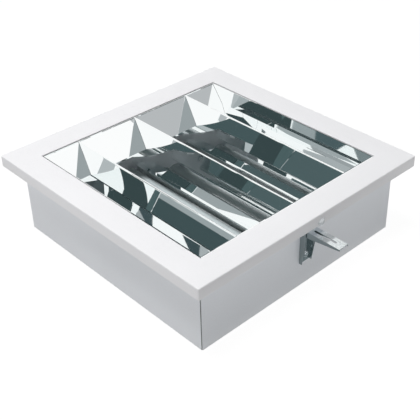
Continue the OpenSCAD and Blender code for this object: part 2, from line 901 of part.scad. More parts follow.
housing_tray();
end_panel(1);  // end_panel_right
end_panel(-1);  // end_panel_left
trim_frame();
floor_reflector();
reflector_screws();
ballast();
ballast_screws();
terminal_block();
earth_stud();
cable_grommet();
lamp(-blade_pitch);  // lamp_front
lamp(0);  // lamp_centre
lamp(blade_pitch);  // lamp_rear
lamp_cap(-blade_pitch);  // lamp_cap_front
lamp_cap(0);  // lamp_cap_centre
lamp_cap(blade_pitch);  // lamp_cap_rear
lamp_holder(-blade_pitch);  // lamp_holder_front
lamp_holder(0);  // lamp_holder_centre
lamp_holder(blade_pitch);  // lamp_holder_rear
lamp_clip(-blade_pitch);  // lamp_clip_front
lamp_clip(0);  // lamp_clip_centre
lamp_clip(blade_pitch);  // lamp_clip_rear
blade(-blade_pitch);  // blade_front
blade(0);  // blade_centre
blade(blade_pitch);  // blade_rear
louvre_end(1);  // louvre_end_right
louvre_end(-1);  // louvre_end_left
side_reflector(-1);  // side_reflector_front
side_reflector(1);  // side_reflector_rear
pivot_pin(1);  // pivot_pin_right
pivot_pin(-1);  // pivot_pin_left
hinge_bracket(1);  // hinge_bracket_right
hinge_bracket(-1);  // hinge_bracket_left
catch_spring(1);  // catch_spring_right
catch_spring(-1);  // catch_spring_left
bracket_plate(1);  // bracket_plate_right
bracket_plate(-1);  // bracket_plate_left
bracket_arm(1);  // bracket_arm_right
bracket_arm(-1);  // bracket_arm_left
bracket_pin(1);  // bracket_pin_right
bracket_pin(-1);  // bracket_pin_left
slot_screw(1);  // slot_screw_right
slot_screw(-1);  // slot_screw_left
slot_washer(1);  // slot_washer_right
slot_washer(-1);  // slot_washer_left
clinch_nut(1);  // clinch_nut_right
clinch_nut(-1);  // clinch_nut_left
lip_rivet(1);  // lip_rivet_right
lip_rivet(-1);  // lip_rivet_left
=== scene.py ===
# %% [markdown]
# # A recessed louvre light on its back
# The object is a square ceiling light before it is fitted: a white trim frame, a light grey steel
# housing, a hinged louvre of mirror-bright aluminium, lamps and gear below the louvre, and a
# folding clamp bracket on two sides. The measured solids come in as a fixed frame. This script
# dresses them: it gives each surface its finish, and it rebuilds the thin sheet parts with the soft
# bends, rounded corners and hollows that light shows up. All lengths are in metres, and +Z is the
# way the light shines.

# %% The frame of measured solids
import json
import math

import bmesh
import bpy
import numpy as np
from mathutils import Matrix, Vector


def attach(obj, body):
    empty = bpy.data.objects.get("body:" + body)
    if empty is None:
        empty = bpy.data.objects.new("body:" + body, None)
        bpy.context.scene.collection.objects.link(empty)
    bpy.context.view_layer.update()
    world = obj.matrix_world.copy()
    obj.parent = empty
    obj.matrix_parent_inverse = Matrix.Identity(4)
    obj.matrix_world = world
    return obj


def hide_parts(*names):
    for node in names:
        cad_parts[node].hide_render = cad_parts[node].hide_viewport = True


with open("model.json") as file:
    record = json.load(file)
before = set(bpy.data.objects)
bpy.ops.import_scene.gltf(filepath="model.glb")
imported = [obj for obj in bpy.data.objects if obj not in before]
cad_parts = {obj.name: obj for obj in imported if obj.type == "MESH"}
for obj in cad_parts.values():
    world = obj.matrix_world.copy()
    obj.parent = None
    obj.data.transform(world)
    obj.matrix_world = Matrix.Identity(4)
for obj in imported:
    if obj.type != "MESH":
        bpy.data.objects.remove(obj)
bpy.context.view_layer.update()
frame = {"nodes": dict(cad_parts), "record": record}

nodes = frame["nodes"]
body_of_node = {n: b for b, members in frame["record"]["behaviour"]["bodies"].items()
                for n in members}
slot_of_node = {row["node"]: row["material_slot"] for row in frame["record"]["subparts"]}

# %% [markdown]
# ## The camera
# The photograph looks down on one corner of the trim frame, about 33 degrees above the horizon.
# Twelve corners of the frame and the housing, found in the photograph, fix where the camera stood
# and how long its lens was. Setting those numbers is surer than turning a camera by eye. The small
# shift keeps the picture's crop without turning the view.

# %% The camera
AZIMUTH, ELEVATION, ROLL = 45.4286, 33.2675, -0.21
CAMERA_PLACE = (0.746985, -0.674804, 0.724132)
SENSOR_WIDTH, LENS, SHIFT_X, SHIFT_Y = 36.0, 73.821, -0.07113, -0.05003
camera_data = bpy.data.cameras.new("camera")
camera_data.sensor_width = SENSOR_WIDTH
camera_data.lens = LENS
camera_data.shift_x, camera_data.shift_y = SHIFT_X, SHIFT_Y
camera = bpy.data.objects.new("camera", camera_data)
bpy.context.scene.collection.objects.link(camera)
bpy.context.scene.camera = camera


def facing(azimuth, elevation):
    """Unit vector from the object towards a watcher. Azimuth 0 stands at -Y and 90 stands at +X."""
    a, e = math.radians(azimuth), math.radians(elevation)
    return Vector((math.sin(a) * math.cos(e), -math.cos(a) * math.cos(e), math.sin(e)))


def turned_to(azimuth, elevation):
    """Rotation whose local Z points at the watcher and whose local X stays level."""
    back = facing(azimuth, elevation)
    level = Vector((0, 0, 1)).cross(back).normalized()
    return Matrix((level, back.cross(level), back)).transposed().to_4x4()


camera.matrix_world = (Matrix.Translation(CAMERA_PLACE) @ turned_to(AZIMUTH, ELEVATION)
                       @ Matrix.Rotation(math.radians(ROLL), 4, "Z"))
print("camera at", CAMERA_PLACE, "lens", camera_data.lens)

# %% [markdown]
# ## White surroundings
# The photograph is a cut-out on pure white. The floor and the world are white where the camera sees
# them and where glass or metal mirrors them, and they give off a weaker light elsewhere, so the
# background costs the object no extra light. The floor glows for the rays that light the object
# too: in the photograph the sides are nearly as pale as their paint, which only a lit floor can do
# from below. It takes the rest of its brightness from the lamp, which keeps a faint shadow by the
# housing.


# %% White surroundings
WHITE = (1.0, 1.0, 1.0, 1.0)


def linear(*rgb):
    """Scene values of a colour written as it shows on a screen, 0 to 255, plus full opacity."""
    c = np.array(rgb, float) / 255
    return tuple(np.where(c > 0.04045, ((c + 0.055) / 1.055) ** 2.4, c / 12.92)) + (1.0,)


def cleared_tree(owner):
    """The owner's node tree without its starting nodes."""
    owner.use_nodes = True
    owner.node_tree.nodes.clear()
    return owner.node_tree


def feed(tree, socket, value):
    """Give a socket its value: a number or colour is set on it, and another socket is linked."""
    if isinstance(value, (int, float, tuple)):
        socket.default_value = value
    else:
        tree.links.new(value, socket)


def worked_out(tree, operation, *values):
    """The outcome of one Math node, whose values are numbers or sockets."""
    node = tree.nodes.new("ShaderNodeMath")
    node.operation = operation
    for socket, value in zip(node.inputs, values):
        feed(tree, socket, value)
    return node.outputs[0]


def shader_of(tree, kind, **values):
    """A simple shader's output, with its inputs set by name."""
    node = tree.nodes.new(kind)
    for label, value in values.items():
        node.inputs[label].default_value = value
    return node.outputs[0]


def ended(tree, kind, surface):
    """Send a shader to a new output node of the given kind."""
    tree.links.new(surface, tree.nodes.new(kind).inputs["Surface"])


def blended(tree, factor, first, second):
    """A mix of two shaders."""
    mix = tree.nodes.new("ShaderNodeMixShader")
    for socket, value in zip(mix.inputs, (factor, first, second)):
        tree.links.new(value, socket)
    return mix.outputs[0]


def seen_directly(tree):
    """1 on camera, glossy and transmission rays, and 0 on the rays that light the object."""
    rays = tree.nodes.new("ShaderNodeLightPath").outputs
    value = rays["Is Camera Ray"]
    for name in ("Is Glossy Ray", "Is Transmission Ray"):
        value = worked_out(tree, "MAXIMUM", value, rays[name])
    return value


SKY_LIGHT, SKY_SHOWN = 0.07, 1.0
world = bpy.data.worlds.new("white_world")
bpy.context.scene.world = world
tree = cleared_tree(world)
lights, shown = (shader_of(tree, "ShaderNodeBackground", Color=WHITE, Strength=strength)
                 for strength in (SKY_LIGHT, SKY_SHOWN))
ended(tree, "ShaderNodeOutputWorld", blended(tree, seen_directly(tree), lights, shown))


def card(name, corners, material):
    """A flat sheet with the given corners that belongs to the studio and not to the object."""
    mesh = bpy.data.meshes.new(name)
    mesh.from_pydata([tuple(c) for c in corners], [], [tuple(range(len(corners)))])
    mesh.materials.append(material)
    sheet = bpy.data.objects.new(name, mesh)
    bpy.context.scene.collection.objects.link(sheet)
    return sheet


FLOOR_DROP, FLOOR_HALF, FLOOR_COLOUR = 0.0006, 7.0, (240, 240, 241)
GLOW_STRENGTH, GLOW_SEEN, GLOW_LIGHTING = 1.07, 0.9, 0.62
floor_white = bpy.data.materials.new("floor_white")
tree = cleared_tree(floor_white)
lit = shader_of(tree, "ShaderNodeBsdfDiffuse", Color=linear(*FLOOR_COLOUR))
glow = shader_of(tree, "ShaderNodeEmission", Color=WHITE, Strength=GLOW_STRENGTH)
share = worked_out(tree, "MULTIPLY_ADD", seen_directly(tree), GLOW_SEEN - GLOW_LIGHTING,
                   GLOW_LIGHTING)
ended(tree, "ShaderNodeOutputMaterial", blended(tree, share, lit, glow))
floor = card("floor", [(x * FLOOR_HALF, y * FLOOR_HALF, -FLOOR_DROP)
                       for x, y in ((-1, -1), (1, -1), (1, 1), (-1, 1))], floor_white)
print("stage pieces:", [floor.name])

# %% [markdown]
# ## Studio light
# One soft box hangs high overhead, a little to the front and to the left. The trim's face is then
# the palest surface, the front side is a step darker and the right side darker again, as in the
# photograph. The mirror louvre shows no lamp, only what stands round it, so the box is hidden from
# glossy rays.


# %% Studio light
BOX_PLACE, BOX_WIDTH, BOX_POWER = Vector((-0.1, -0.42, 2.2)), 0.9, 44.0
BOX_AIM = Vector((0, 0, 0.06))
box_data = bpy.data.lights.new("box_overhead", "AREA")
box_data.shape, box_data.size, box_data.energy = "SQUARE", BOX_WIDTH, BOX_POWER
box = bpy.data.objects.new("box_overhead", box_data)
bpy.context.scene.collection.objects.link(box)
away = (BOX_PLACE - BOX_AIM).normalized()
box.matrix_world = (Matrix.Translation(BOX_PLACE)
                    @ away.to_track_quat("Z", "Y").to_matrix().to_4x4())
box.visible_glossy = False

# %% [markdown]
# ## What the mirrors show
# Polished aluminium has almost no colour of its own: the louvre looks as it does because of what
# stands round it. Following the paths that light takes between the sloping end reflectors, the
# blades and the side reflectors gives, for each small facet in the photograph, the direction in
# which it looks out of the light. The studio must be white in some of those directions, grey in
# others and dark behind. Sheets that only glossy rays see can stand there without shading anything
# else, and they stand 20 m away, so that a direction means the same from every part of the louvre.
# Two sheets are for the clamp: a grey one on the floor beside it, and a small white one near by,
# in the direction that its arm's top mirrors, which hides the dark sheets behind it from the arm.


# %% What the mirrors show
CARD_DISTANCE, CARD_HEIGHT = 20.0, Vector((0, 0, 0.1))


def mirror_sheet(name, colour, corners):
    """A flat glowing sheet that only mirrors see, with its corners at the given places."""
    material = bpy.data.materials.new(name)
    tree = cleared_tree(material)
    ended(tree, "ShaderNodeOutputMaterial",
          shader_of(tree, "ShaderNodeEmission", Color=linear(*colour)))
    sheet = card(name, corners, material)
    sheet.visible_camera = sheet.visible_diffuse = False
    sheet.visible_shadow = sheet.visible_transmission = False
    return sheet


def mirror_card(name, colour, directions):
    """A mirror sheet far away, whose corners lie in the directions (azimuth, elevation)."""
    rays = [facing(a, e) for a, e in directions]
    middle = sum(rays, Vector()).normalized()
    return mirror_sheet(name, colour, [r * (CARD_DISTANCE / r.dot(middle)) + CARD_HEIGHT
                                       for r in rays])


mirror_cards = [mirror_card(*row) for row in (
    ("grey_right", (154, 160, 162), [(51, 37.6), (71, 37.6), (71, 45), (51, 45)]),
    ("grey_rear_right", (182, 185, 187), [(129.1, 29.6), (140, 29.6), (140, 43), (129.1, 43)]),
    ("dark_rear_right", (50, 63, 65), [(127, 22), (147, 22), (147, 29.6), (127, 29.6)]),
    ("grey_right_high", (166, 171, 173), [(124.5, 37.2), (129.1, 37.2), (129.1, 43), (124.5, 43)]),
    ("grey_rear_high", (163, 167, 169), [(-127.5, 45.2), (-120.5, 45.2), (-120.5, 48.2),
                                         (-124.5, 51), (-127.5, 51)]),
    ("dark_rear_low", (66, 80, 82), [(-152, 22.8), (-146, 25), (-140, 25.2), (-135, 28),
                                     (-134.2, 33.2), (-136.4, 34.3), (-138, 38), (-152, 38)]),
    ("dark_rear_high", (47, 60, 62), [(-134.5, 38.6), (-126.6, 34.2), (-121, 36.5), (-121, 43),
                                      (-134.5, 43)]),
    ("grey_rear", (156, 161, 163), [(-135.4, 39), (-134.4, 36.6), (-133.4, 32.4),
                                    (-130.8, 31.8), (-128, 31.4), (-126.2, 34)]),
    ("grey_rear_foot", (156, 158, 160), [(-152, 18), (-143.7, 18), (-143.7, 22.7), (-152, 22.7)]),
    ("dark_rear_top", (60, 76, 77), [(-178, 50), (-162, 40.5), (-146, 43.5), (-134, 51.5),
                                     (-134, 56), (-178, 58)]),
    ("dark_left_strip", (52, 64, 66), [(-50, 35), (-48, 35), (-43.2, 38.1), (-43.4, 39.4),
                                       (-50, 36.6)]),
    ("dark_left_foot", (62, 76, 78), [(-43, 34.6), (-41.3, 35.3), (-38.4, 32.6), (-41.3, 31.5)]),
    ("grey_left_foot", (170, 174, 176), [(-43.4, 34.9), (-41.3, 35.3), (-38.6, 34.6), (-38.2, 36.4),
                                         (-40, 37.2), (-43.8, 35.8)]),
    ("dark_left_end", (98, 106, 108), [(-49.8, 31.8), (-47.8, 31.8), (-46.6, 33.6), (-47.4, 34.4),
                                       (-49.8, 33.4)]),
    ("dark_left_low", (60, 72, 76), [(-40, 29.6), (-38.1, 30.1), (-36.1, 26.7), (-38.7, 25.8)]),
    ("grey_left_low", (154, 158, 160), [(-42, 29), (-40, 29.6), (-38.7, 25.8), (-40.5, 25.2)]),
    ("grey_left_low_end", (120, 126, 128), [(-36.3, 30.7), (-35.3, 31), (-33.6, 27.5),
                                            (-35.7, 27)]),
    ("dark_stripe_low", (52, 64, 68), [(-57.9, 39.7), (-56.9, 39.4), (-54.2, 36.4), (-55.7, 35.8)]),
    ("dark_stripe_high", (48, 60, 64), [(-54.4, 42.2), (-53.1, 42), (-50.7, 39.3), (-52.3, 38.5)]),
    ("grey_stripe_low", (166, 170, 172), [(-58.8, 38.6), (-57.9, 39.7), (-55.7, 35.8),
                                          (-56, 35.4)]),
    ("grey_stripe_high", (170, 174, 176), [(-53.1, 42.3), (-50, 40.2), (-50, 39.2), (-50.7, 39.3),
                                           (-53.1, 42)]),
)]
PATCH_X, PATCH_Y, PATCH_HEIGHT = (0.187, 0.4), (-0.25, 0.3), 0.0003
mirror_cards.append(mirror_sheet("dark_floor", (112, 122, 124), [
    (PATCH_X[i], PATCH_Y[j], PATCH_HEIGHT) for i, j in ((0, 0), (1, 0), (1, 1), (0, 1))]))
ARM_TOP, ARM_RAY, ARM_CARD_DISTANCE = Vector((0.222, 0, 0.0923)), facing(-142.1, 36.5), 0.9
ARM_CARD_X, ARM_CARD_Y = (-0.04, 0.04), (-0.02, 0.05)
across = ARM_RAY.cross(Vector((0, 0, 1))).normalized()
upward = across.cross(ARM_RAY)
mirror_cards.append(mirror_sheet("white_over_arm", (255, 255, 255), [
    ARM_TOP + ARM_RAY * ARM_CARD_DISTANCE + across * ARM_CARD_X[i] + upward * ARM_CARD_Y[j]
    for i, j in ((0, 0), (1, 0), (1, 1), (0, 1))]))
print("mirror cards:", len(mirror_cards))

# %% [markdown]
# ## Surface effects that several finishes share
# No real finish is one flat colour. Paint has the fine pebbling of powder that melted and flowed,
# rolled sheet has faint lines along the way it was rolled, and zinc, glass and moulded plastic have
# a soft mottle. Each effect is one shader node group with named inputs, built once and placed in
# each material with its own values. A group gives out only a colour, a value, a height or a mask.


# %% Surface effects that several finishes share
def node_group(name, inputs, outputs):
    """An empty shader node group: inputs (name, kind, start value), outputs (name, kind)."""
    group = bpy.data.node_groups.new(name, "ShaderNodeTree")
    for label, kind, value in inputs:
        socket = group.interface.new_socket(label, in_out="INPUT",
                                            socket_type="NodeSocket" + kind)
        socket.default_value = value
    for label, kind in outputs:
        group.interface.new_socket(label, in_out="OUTPUT", socket_type="NodeSocket" + kind)
    return group, group.nodes.new("NodeGroupInput"), group.nodes.new("NodeGroupOutput")


def noise_in(group, place, scale, detail):
    """A noise texture on the given place, with its own scale."""
    noise = group.nodes.new("ShaderNodeTexNoise")
    for label, value in (("Vector", place), ("Scale", scale), ("Detail", detail)):
        feed(group, noise.inputs[label], value)
    return noise.outputs["Fac"]


def mixed(tree, factor, low, high):
    """The colour between two colours by a factor."""
    mix = tree.nodes.new("ShaderNodeMix")
    mix.data_type = "RGBA"
    for label, value in (("Factor", factor), ("A", low), ("B", high)):
        feed(tree, mix.inputs[label], value)
    return mix.outputs["Result"]


def mapped(group, value, low, high, out_low=0.0, out_high=1.0):
    """The value carried from one range into another, held at the ends."""
    rule = group.nodes.new("ShaderNodeMapRange")
    for socket, number in zip(rule.inputs, (value, low, high, out_low, out_high)):
        feed(group, socket, number)
    return rule.outputs["Result"]


BROAD_SCALE, BROAD_DETAIL, BROAD_RANGE = 9.0, 2.0, (0.35, 0.65)
FINE_DETAIL, FINE_RANGE = 3.0, (0.3, 0.7)


def grain_group(name, stretch):
    """A fine grain, stretched along the axes by the factors, over a slow, broad drift of tone."""
    group, given, result = node_group(
        name,
        [("Colour", "Color", (0.8, 0.8, 0.8, 1)), ("Shade", "Color", (0.7, 0.7, 0.7, 1)),
         ("Fine Scale", "Float", 900.0), ("Low Roughness", "Float", 0.3),
         ("High Roughness", "Float", 0.4)],
        [("Colour", "Color"), ("Roughness", "Float"), ("Height", "Float")])
    place = group.nodes.new("ShaderNodeTexCoord").outputs["Object"]
    along = group.nodes.new("ShaderNodeMapping")
    along.inputs["Scale"].default_value = stretch
    group.links.new(place, along.inputs["Vector"])
    fine = noise_in(group, along.outputs[0], given.outputs["Fine Scale"], FINE_DETAIL)
    broad = noise_in(group, place, BROAD_SCALE, BROAD_DETAIL)
    both = worked_out(group, "MULTIPLY", mapped(group, broad, *BROAD_RANGE),
                      mapped(group, fine, *FINE_RANGE))
    colour = mixed(group, both, given.outputs["Colour"], given.outputs["Shade"])
    roughness = mapped(group, fine, *FINE_RANGE, given.outputs["Low Roughness"],
                       given.outputs["High Roughness"])
    for label, value in (("Colour", colour), ("Roughness", roughness), ("Height", fine)):
        group.links.new(value, result.inputs[label])
    return group


EVEN, ALONG_X = (1, 1, 1), (0.02, 1, 1)
powder_grain = grain_group("powder_grain", EVEN)
rolled_lines = grain_group("rolled_lines", ALONG_X)
moulded_grain = grain_group("moulded_grain", EVEN)
print("effects:", [g.name for g in bpy.data.node_groups])

# %% [markdown]
# ## The finishes
# A finish is the object's own set of numbers for one shader: its colour, how rough it is, whether
# it is metal, and which shared effect breaks it up. The numbers that are the same all over sit on
# the shader itself. The colours come from the photograph, as they would look in plain light.
#
# Between two facing mirrors light goes to and fro dozens of times, and a renderer stops counting
# after a few. The mirror finish has a very faint glow of its own, which stands in for the light of
# those later reflections and gives the photograph's dark blue-green in place of black.


# %% The finishes
def finish(name, effect, colour, shade, fine, roughness, bump=0.0, **shader_values):
    """A Principled material whose colour, roughness and bump come from one shared effect."""
    material = bpy.data.materials.new(name)
    tree = cleared_tree(material)
    shader = tree.nodes.new("ShaderNodeBsdfPrincipled")
    ended(tree, "ShaderNodeOutputMaterial", shader.outputs["BSDF"])
    group = tree.nodes.new("ShaderNodeGroup")
    group.node_tree = effect
    for label, value in (("Colour", linear(*colour)), ("Shade", linear(*shade)),
                         ("Fine Scale", fine), ("Low Roughness", roughness[0]),
                         ("High Roughness", roughness[1])):
        group.inputs[label].default_value = value
    tree.links.new(group.outputs["Colour"], shader.inputs["Base Color"])
    tree.links.new(group.outputs["Roughness"], shader.inputs["Roughness"])
    if bump:
        pebble = tree.nodes.new("ShaderNodeBump")
        pebble.inputs["Distance"].default_value = bump
        tree.links.new(group.outputs["Height"], pebble.inputs["Height"])
        tree.links.new(pebble.outputs["Normal"], shader.inputs["Normal"])
    for label, value in shader_values.items():
        shader.inputs[label.replace("_", " ")].default_value = value
    return material


# How much light of the later reflections the mirror finish gives off by itself.
LATE_LIGHT = (0.007, 0.011, 0.0115, 1.0)
# Each finish has its effect, colour, shade, scale of the fine grain and roughness range, then the
# height of its bumps where it has any.
finishes = {
    "white_enamel": finish("white_enamel", powder_grain, (245, 245, 247), (241, 241, 243), 700,
                           (0.34, 0.44), 0.00003),
    "grey_enamel": finish("grey_enamel", powder_grain, (241, 244, 248), (236, 239, 243), 700,
                          (0.36, 0.48), 0.00004),
    "mirror_aluminium": finish("mirror_aluminium", rolled_lines, (251, 252, 252), (248, 250, 250),
                               2500, (0.008, 0.016), Metallic=1.0,
                               Emission_Color=LATE_LIGHT, Emission_Strength=1.0),
    "zinc_steel": finish("zinc_steel", moulded_grain, (232, 237, 238), (210, 217, 219), 420,
                         (0.07, 0.12), Metallic=1.0),
    "bright_screw": finish("bright_screw", moulded_grain, (236, 239, 241), (222, 226, 229), 900,
                           (0.08, 0.14), Metallic=1.0),
    "rivet_grey": finish("rivet_grey", moulded_grain, (222, 226, 229), (214, 219, 222), 1200,
                         (0.2, 0.28), 0.00001, Metallic=0.25),
    "spring_steel": finish("spring_steel", rolled_lines, (150, 154, 158), (132, 137, 142), 1600,
                           (0.22, 0.34), Metallic=1.0),
    "white_plastic": finish("white_plastic", moulded_grain, (206, 214, 214), (197, 205, 205), 1400,
                            (0.38, 0.5), 0.00002),
    "clip_plastic": finish("clip_plastic", moulded_grain, (232, 236, 238), (224, 229, 232), 1400,
                           (0.18, 0.26)),
    "lamp_glass": finish("lamp_glass", moulded_grain, (190, 199, 201), (182, 191, 193), 600,
                         (0.3, 0.38), Coat_Weight=1.0, Coat_Roughness=0.04),
    "ballast_case": finish("ballast_case", powder_grain, (236, 236, 230), (228, 228, 222), 700,
                           (0.34, 0.44), 0.00003),
    "brass": finish("brass", moulded_grain, (214, 184, 118), (196, 164, 98), 900, (0.2, 0.32),
                    Metallic=1.0),
    "black_rubber": finish("black_rubber", moulded_grain, (46, 46, 47), (38, 38, 39), 1500,
                           (0.6, 0.75), 0.00003),
}
for name, solid in nodes.items():
    solid.data.materials.clear()
    solid.data.materials.append(finishes[slot_of_node[name]])
print("finishes:", len(finishes))

# %% [markdown]
# ## The open seam at the corners
# The tray and the end panels don't meet at the upright corners: about a millimetre stays open
# between them, and the photograph shows it as a thin dark line. The gap is in the measured solids.
# The gap's shade is painted: the grey paint is painted dark on its walls, the cut sheet edges. A
# mask by place finds those edges on all four corners at once, and the paint stays one material.


# %% The open seam at the corners
def mask_group(name, coordinate, axes):
    """A mask that is 1 where the coordinate's size is past its limit on every one of the axes."""
    group, given, result = node_group(
        name, [(f"Past {axis}", "Float", 0.5) for axis in axes], [("Mask", "Float")])
    split = group.nodes.new("ShaderNodeSeparateXYZ")
    group.links.new(group.nodes.new("ShaderNodeTexCoord").outputs[coordinate], split.inputs[0])
    mask = 1.0
    for axis in axes:
        size = worked_out(group, "ABSOLUTE", split.outputs[axis])
        past = worked_out(group, "GREATER_THAN", size, given.outputs[f"Past {axis}"])
        mask = worked_out(group, "MULTIPLY", mask, past)
    group.links.new(mask, result.inputs["Mask"])
    return group


def tinted(slot, group, colour, **limits):
    """Put a colour over a finish where the group's mask is 1, with a limit for each axis."""
    tree = finishes[slot].node_tree
    mask = tree.nodes.new("ShaderNodeGroup")
    mask.node_tree = group
    for axis, limit in limits.items():
        mask.inputs[f"Past {axis}"].default_value = limit
    base = tree.nodes["Principled BSDF"].inputs["Base Color"]
    plain = base.links[0].from_socket
    tree.links.new(mixed(tree, mask.outputs["Mask"], plain, linear(*colour)), base)
    print(group.name, "mask on:", slot)


SEAM_X, SEAM_Y, SEAM_PAINTED_SHADE = 0.17775, 0.17805, (46, 50, 52)
# Painted shade: the seam's walls are painted dark in place of the shadow inside the gap.
tinted("grey_enamel", mask_group("corner_seam_painted_shade", "Object", "XY"), SEAM_PAINTED_SHADE, X=SEAM_X, Y=SEAM_Y)

# %% [markdown]
# ## Painted shade on the clamp's flanges
# In the photograph the clamp's flat faces are bright, while its bent side flanges are much duller.
# The zinc is painted darker on the flanges as painted shade. The flanges are the faces that look
# along Y, so a mask by the direction of the surface picks them out.

# %% Painted shade on the clamp's flanges
FLANGE_FACING, FLANGE_PAINTED_SHADE = 0.9, (155, 165, 167)
# Painted shade: the zinc faces that look along Y are painted darker.
tinted("zinc_steel", mask_group("flange_painted_shade", "Normal", "Y"), FLANGE_PAINTED_SHADE, Y=FLANGE_FACING)

# %% [markdown]
# ## How a new piece joins the model
# Each new piece is built where it stands, in the frame's own metres, and takes the place of the
# plain solid that it refines. It rides on the same moving body, so the louvre still swings and the
# clamps still slide and fold. One short function does this for all of them. Corners above a given
# angle stay sharp in the shading, and everything smoother is shaded as one surface.


# %% How a new piece joins the model
SHARP, SOFT_STEPS, SAME_POINT = 30, 2, 1e-6


def joined(name, mesh, soft=0.0, sharp=SHARP):
    """Put a mesh in the place of the solid called name, with soft edges of the given width."""
    mesh.materials.clear()
    mesh.materials.append(finishes[slot_of_node[name]])
    mesh.shade_smooth()
    mesh.set_sharp_from_angle(angle=math.radians(sharp))
    new = bpy.data.objects.new("fine_" + name, mesh)
    bpy.context.scene.collection.objects.link(new)
    if soft:
        bevel = new.modifiers.new("soft_edges", "BEVEL")
        bevel.width, bevel.segments, bevel.limit_method = soft, SOFT_STEPS, "ANGLE"
        bevel.angle_limit = math.radians(sharp)
        bevel.harden_normals = True
    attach(new, body_of_node[name])
    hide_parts(name)
    return new


def mesh_of(name, points, faces):
    """A mesh from points and lists of faces, with doubles merged and faces turned outwards."""
    mesh = bpy.data.meshes.new("fine_" + name)
    mesh.from_pydata(np.asarray(points, float).tolist(), [], [list(map(int, f)) for f in faces])
    work = bmesh.new()
    work.from_mesh(mesh)
    bmesh.ops.remove_doubles(work, verts=work.verts, dist=SAME_POINT)
    bmesh.ops.recalc_face_normals(work, faces=work.faces)
    work.to_mesh(mesh)
    work.free()
    return mesh


def grid(rows, columns, close_rows=False, close_columns=False):
    """Corner numbers of the squares between a grid's points, closed round where asked."""
    r = np.arange(rows if close_rows else rows - 1)[:, None]
    c = np.arange(columns if close_columns else columns - 1)[None, :]
    r2, c2 = (r + 1) % rows, (c + 1) % columns
    return np.stack([r * columns + c, r * columns + c2, r2 * columns + c2, r2 * columns + c],
                    axis=-1).reshape(-1, 4)


print("helpers ready for", len(nodes), "solids")

# %% [markdown]
# ## Sheet parts that keep their shape
# The tray, the end panels, the brackets, the holders and the small gear are right in shape already,
# but a real bent or moulded edge is never razor sharp: it is a narrow rounded strip that catches a
# line of light. Each gets a copy of its own solid with the flat faces joined up again, and a narrow
# round along its edges. A round from a modifier is enough here, as the shape stays the same.


# %% Sheet parts that keep their shape
SAME_CORNER, FLAT = 2e-6, math.radians(0.6)


def softened(name, width):
    """A copy of a solid with merged flat faces and rounded edges of the given width in metres."""
    solid = nodes[name]
    work = bmesh.new()
    work.from_mesh(solid.data)
    work.transform(solid.matrix_world)
    bmesh.ops.remove_doubles(work, verts=work.verts, dist=SAME_CORNER)
    bmesh.ops.dissolve_limit(work, angle_limit=FLAT, verts=work.verts, edges=work.edges,
                             delimit=set())
    mesh = bpy.data.meshes.new("fine_" + name)
    work.to_mesh(mesh)
    work.free()
    return joined(name, mesh, width)


SIDES = ("right", "left")
ROWS = ("front", "centre", "rear")
soft_widths = {"housing_tray": 0.0002, "floor_reflector": 0.0003, "terminal_block": 0.0005,
               "ballast": 0.0012}
soft_widths.update({f"end_panel_{s}": 0.0002 for s in SIDES})
soft_widths.update({f"hinge_bracket_{s}": 0.0003 for s in SIDES})
soft_widths.update({f"bracket_{p}_{s}": 0.0003 for p in ("plate", "arm") for s in SIDES})
soft_widths.update({f"lamp_{p}_{r}": 0.0006 for p in ("holder", "cap") for r in ROWS})
soft_widths.update({f"lamp_clip_{r}": 0.0003 for r in ROWS})
soft_widths.update({"cable_grommet": 0.0006, "earth_stud": 0.0002})
soft_widths.update({f"{p}_{s}": w for s in SIDES for p, w in (
    ("clinch_nut", 0.0003), ("slot_washer", 0.0002), ("pivot_pin", 0.0003),
    ("catch_spring", 0.00012))})
soft_pieces = [softened(name, width) for name, width in soft_widths.items()]
print("softened pieces:", len(soft_pieces))

# %% [markdown]
# ## The trim frame
# On the real light this is one sheet of steel, pressed and folded: a small hem round the light
# opening, the broad flat face, a lip bent down at the outer edge and a narrow return that lies on
# the ceiling. A pressed profile has a round on every bend, so the piece is one profile swept round
# the square. At each point of the profile the square's corner radius shrinks with the way inwards,
# which turns the tight outer corner into the plain mitre of the opening.


# %% The trim frame
def bent(corners, radii, steps=6):
    """Points along a chain of straight runs whose bends are arcs that touch both runs."""
    points = [np.array(corners[0], float)]
    for before, corner, after, radius in zip(corners, corners[1:], corners[2:], radii):
        before, corner, after = (np.array(p, float) for p in (before, corner, after))
        a = (before - corner) / np.linalg.norm(before - corner)
        b = (after - corner) / np.linalg.norm(after - corner)
        half = math.acos(np.clip(a @ b, -1, 1)) / 2
        centre = corner + (a + b) / np.linalg.norm(a + b) * radius / math.sin(half)
        start, end = corner + a * radius / math.tan(half), corner + b * radius / math.tan(half)
        turn = np.linspace(0, 1, steps + 1)[:, None]
        way = (start - centre) * (1 - turn) + (end - centre) * turn
        points.extend(centre + way / np.linalg.norm(way, axis=1)[:, None] * radius)
    points.append(np.array(corners[-1], float))
    return np.array(points)


def moved_aside(path, distance):
    """The path moved to its left by the distance, with mitres at the bends."""
    run = np.diff(path, axis=0)
    run /= np.linalg.norm(run, axis=1)[:, None]
    left = np.stack([-run[:, 1], run[:, 0]], axis=1)
    first, second = np.vstack([left[:1], left]), np.vstack([left, left[-1:]])
    return path + distance * (first + second) / (1 + (first * second).sum(1))[:, None]


def round_square(half, radius, steps=8):
    """Points round a square of the given half width whose corners have the given radius."""
    angle = np.linspace(0, math.pi / 2, steps + 1)
    quarter = np.stack([half - radius + radius * np.cos(angle),
                        half - radius + radius * np.sin(angle)], axis=1)
    turns = [np.array([[c, -s], [s, c]]) for c, s in ((1, 0), (0, 1), (-1, 0), (0, -1))]
    return np.vstack([quarter @ t.T for t in turns])


